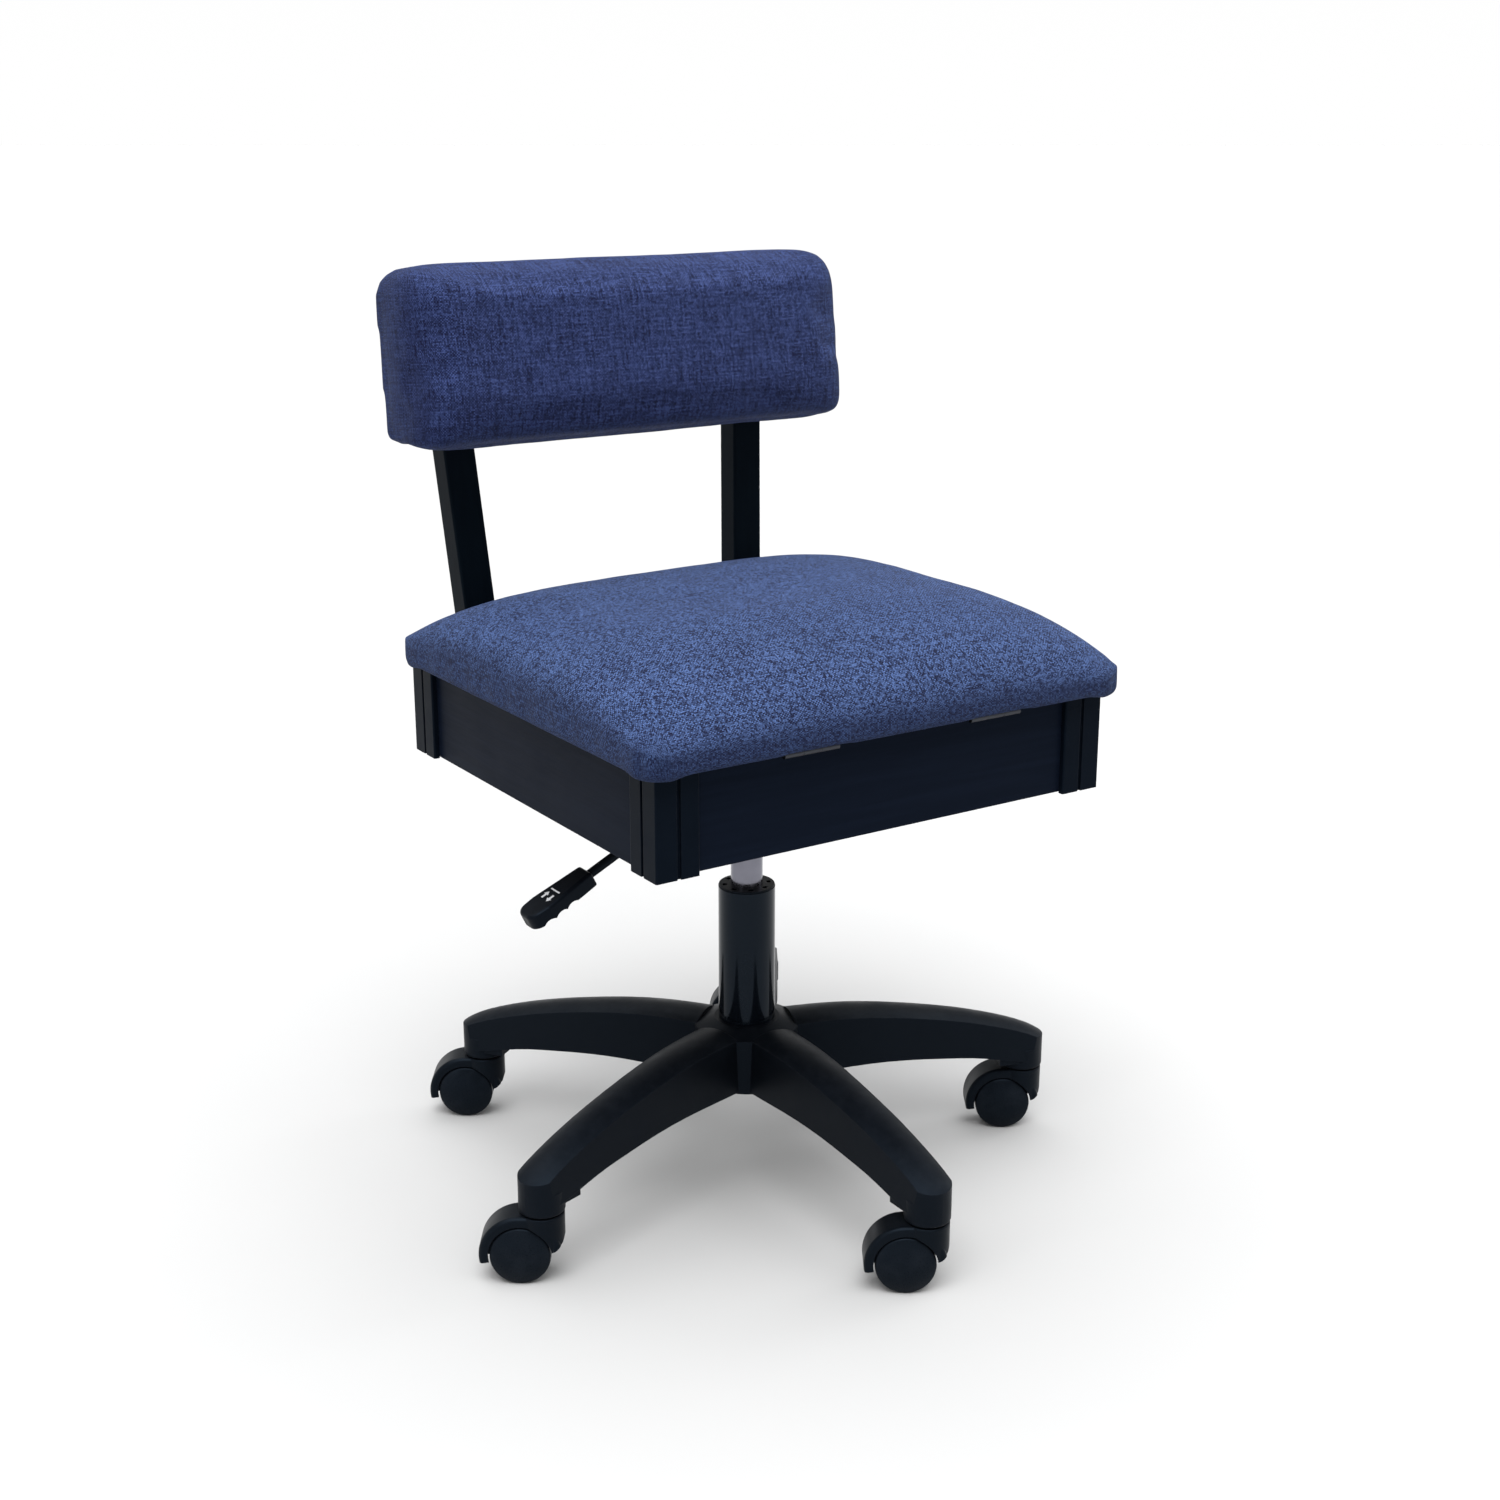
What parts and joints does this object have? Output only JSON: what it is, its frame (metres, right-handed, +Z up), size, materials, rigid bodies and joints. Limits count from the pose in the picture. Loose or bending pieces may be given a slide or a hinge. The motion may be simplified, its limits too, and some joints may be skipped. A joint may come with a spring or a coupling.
{
  "type": "swivel stool",
  "caption": "Height-adjustable swivel stool with a low padded back, a storage box under its lifting seat, a gas lift and a star base on casters.",
  "frame": {"origin": "on the floor, under the centre of the column", "axes": "+Z up; the sitter faces -Y; the height lever is on the -X side"},
  "size_m": [0.5751, 0.5545, 0.787],
  "materials": {
    "black_nylon": "fine-grained satin black",
    "wheel_plastic": "semi-gloss black",
    "bright_steel": "zinc-plated",
    "black_tube": "glossy black enamel",
    "bright_cylinder": "polished",
    "black_steel": "satin black powder coat",
    "black_board": "satin black laminate",
    "black_moulding": "satin black",
    "black_wood": "satin black paint",
    "plywood": "plain",
    "blue_fabric": "woven, royal blue melange",
    "dark_liner": "thin black cloth",
    "light_hinge": "nickel-plated"
  },
  "bodies": {
    "base": {"star_base": "black_nylon", "caster_stems": "bright_steel", "grip_rings": "bright_steel", "column_tube": "black_tube", "guide_bush": "black_nylon", "thrust_bearing": "bright_steel"},
    "gas_rod": {"piston_rod": "bright_steel", "piston": "bright_steel", "rod_clip": "bright_steel"},
    "seat": {"gas_cylinder": "bright_cylinder", "taper_socket": "black_steel", "seat_plate": "black_steel", "plate_bolts": "bright_steel", "plate_nuts": "bright_steel", "lever_pin": "bright_steel", "box_bottom": "black_board", "front_panel": "black_board", "rear_panel": "black_board", "left_panel": "black_board", "right_panel": "black_board", "corner_mouldings": "black_moulding", "hinge_box_leaves": "light_hinge", "hinge_pins": "light_hinge", "hinge_box_screws": "bright_steel", "back_post_left": "black_wood", "back_post_right": "black_wood", "post_bolts": "bright_steel", "post_nuts": "bright_steel", "back_board": "plywood", "back_cushion": "blue_fabric", "back_bolts": "black_steel", "back_tee_nuts": "bright_steel"},
    "lid": {"seat_board": "plywood", "seat_cushion": "blue_fabric", "seat_liner": "dark_liner", "hinge_lid_leaves": "light_hinge", "hinge_lid_screws": "bright_steel"},
    "lever": {"lever_rod": "black_steel", "lever_paddle": "black_nylon"},
    "valve_pin": {"release_pin": "bright_steel"},
    "caster_1": {"caster_hood_1": "black_nylon", "caster_axle_1": "bright_steel"},
    "wheel_left_1": {"wheel_left_1": "wheel_plastic"},
    "wheel_right_1": {"wheel_right_1": "wheel_plastic"},
    "caster_2": {"caster_hood_2": "black_nylon", "caster_axle_2": "bright_steel"},
    "wheel_left_2": {"wheel_left_2": "wheel_plastic"},
    "wheel_right_2": {"wheel_right_2": "wheel_plastic"},
    "caster_3": {"caster_hood_3": "black_nylon", "caster_axle_3": "bright_steel"},
    "wheel_left_3": {"wheel_left_3": "wheel_plastic"},
    "wheel_right_3": {"wheel_right_3": "wheel_plastic"},
    "caster_4": {"caster_hood_4": "black_nylon", "caster_axle_4": "bright_steel"},
    "wheel_left_4": {"wheel_left_4": "wheel_plastic"},
    "wheel_right_4": {"wheel_right_4": "wheel_plastic"},
    "caster_5": {"caster_hood_5": "black_nylon", "caster_axle_5": "bright_steel"},
    "wheel_left_5": {"wheel_left_5": "wheel_plastic"},
    "wheel_right_5": {"wheel_right_5": "wheel_plastic"}
  },
  "joints": [
    {"name": "seat_swivel", "type": "hinge", "parent": "base", "child": "gas_rod", "pos_m": [0, 0, 0.09], "axis": [0, 0, 1], "continuous": true},
    {"name": "height_slide", "type": "slide", "parent": "gas_rod", "child": "seat", "axis": [0, 0, 1], "range_m": [-0.05, 0.065]},
    {"name": "lid_hinge", "type": "hinge", "parent": "seat", "child": "lid", "pos_m": [0, -0.211, 0.4532], "axis": [1, 0, 0], "range_deg": [0, 95]},
    {"name": "lever_pivot", "type": "hinge", "parent": "seat", "child": "lever", "pos_m": [-0.062, 0, 0.35], "axis": [0, 1, 0], "range_deg": [0, 3], "stiffness_Nm_per_rad": 2, "springref_deg": -2.86},
    {"name": "valve_press", "type": "slide", "parent": "seat", "child": "valve_pin", "axis": [0, 0, -1], "range_m": [0, 0.0034]},
    {"name": "caster_swivel_1", "type": "hinge", "parent": "base", "child": "caster_1", "pos_m": [0, -0.2655, 0.059], "axis": [0, 0, 1], "continuous": true},
    {"name": "wheel_spin_left_1", "type": "hinge", "parent": "caster_1", "child": "wheel_left_1", "pos_m": [-0.01463, -0.25589, 0.025], "axis": [-0.549, -0.8358, 0], "continuous": true},
    {"name": "wheel_spin_right_1", "type": "hinge", "parent": "caster_1", "child": "wheel_right_1", "pos_m": [-0.01463, -0.25589, 0.025], "axis": [-0.549, -0.8358, 0], "continuous": true},
    {"name": "caster_swivel_2", "type": "hinge", "parent": "base", "child": "caster_2", "pos_m": [0.25251, -0.08204, 0.059], "axis": [0, 0, 1], "continuous": true},
    {"name": "wheel_spin_left_2", "type": "hinge", "parent": "caster_2", "child": "wheel_left_2", "pos_m": [0.23788, -0.07244, 0.025], "axis": [-0.549, -0.8358, 0], "continuous": true},
    {"name": "wheel_spin_right_2", "type": "hinge", "parent": "caster_2", "child": "wheel_right_2", "pos_m": [0.23788, -0.07244, 0.025], "axis": [-0.549, -0.8358, 0], "continuous": true},
    {"name": "caster_swivel_3", "type": "hinge", "parent": "base", "child": "caster_3", "pos_m": [0.15606, 0.21479, 0.059], "axis": [0, 0, 1], "continuous": true},
    {"name": "wheel_spin_left_3", "type": "hinge", "parent": "caster_3", "child": "wheel_left_3", "pos_m": [0.14143, 0.2244, 0.025], "axis": [-0.549, -0.8358, 0], "continuous": true},
    {"name": "wheel_spin_right_3", "type": "hinge", "parent": "caster_3", "child": "wheel_right_3", "pos_m": [0.14143, 0.2244, 0.025], "axis": [-0.549, -0.8358, 0], "continuous": true},
    {"name": "caster_swivel_4", "type": "hinge", "parent": "base", "child": "caster_4", "pos_m": [-0.15606, 0.21479, 0.059], "axis": [0, 0, 1], "continuous": true},
    {"name": "wheel_spin_left_4", "type": "hinge", "parent": "caster_4", "child": "wheel_left_4", "pos_m": [-0.17068, 0.2244, 0.025], "axis": [-0.549, -0.8358, 0], "continuous": true},
    {"name": "wheel_spin_right_4", "type": "hinge", "parent": "caster_4", "child": "wheel_right_4", "pos_m": [-0.17068, 0.2244, 0.025], "axis": [-0.549, -0.8358, 0], "continuous": true},
    {"name": "caster_swivel_5", "type": "hinge", "parent": "base", "child": "caster_5", "pos_m": [-0.25251, -0.08204, 0.059], "axis": [0, 0, 1], "continuous": true},
    {"name": "wheel_spin_left_5", "type": "hinge", "parent": "caster_5", "child": "wheel_left_5", "pos_m": [-0.26713, -0.07244, 0.025], "axis": [-0.549, -0.8358, 0], "continuous": true},
    {"name": "wheel_spin_right_5", "type": "hinge", "parent": "caster_5", "child": "wheel_right_5", "pos_m": [-0.26713, -0.07244, 0.025], "axis": [-0.549, -0.8358, 0], "continuous": true}
  ],
  "couplings": [
    {"joint": "valve_press", "follows": "lever_pivot", "m_per_rad": 0.062}
  ]
}
